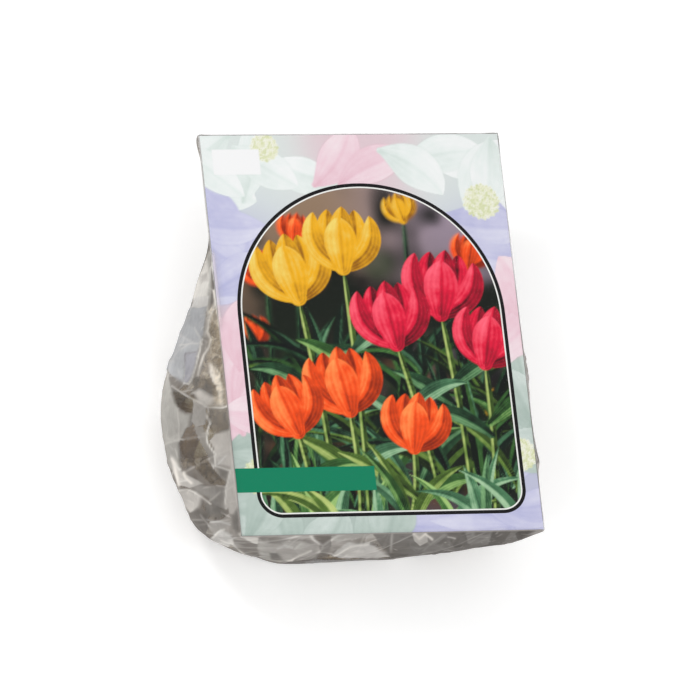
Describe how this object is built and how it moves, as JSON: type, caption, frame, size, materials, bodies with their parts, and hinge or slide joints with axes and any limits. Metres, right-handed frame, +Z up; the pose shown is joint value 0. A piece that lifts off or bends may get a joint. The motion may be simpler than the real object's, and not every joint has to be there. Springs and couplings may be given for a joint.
{
  "type": "film bag of flower bulbs with a picture card",
  "caption": "Clear crinkled film bag with side gussets, holding crown imperial bulbs in wood shavings behind a printed picture card, lying on its back.",
  "frame": {"origin": "middle of the bottom of the part's box, on the plane that the bag lies on", "axes": "+X across the card to the right, +Y along the card towards its top edge, +Z up out of the card's printed face"},
  "size_m": [0.247, 0.276, 0.0766],
  "materials": {
    "film": "gloss",
    "card": "satin",
    "shavings": "matte",
    "bulb": "matte"
  },
  "bodies": {
    "root": {"bag": "film", "card": "card", "packing": "shavings", "bulb_1": "bulb", "bulb_2": "bulb", "bulb_3": "bulb"}
  },
  "joints": []
}
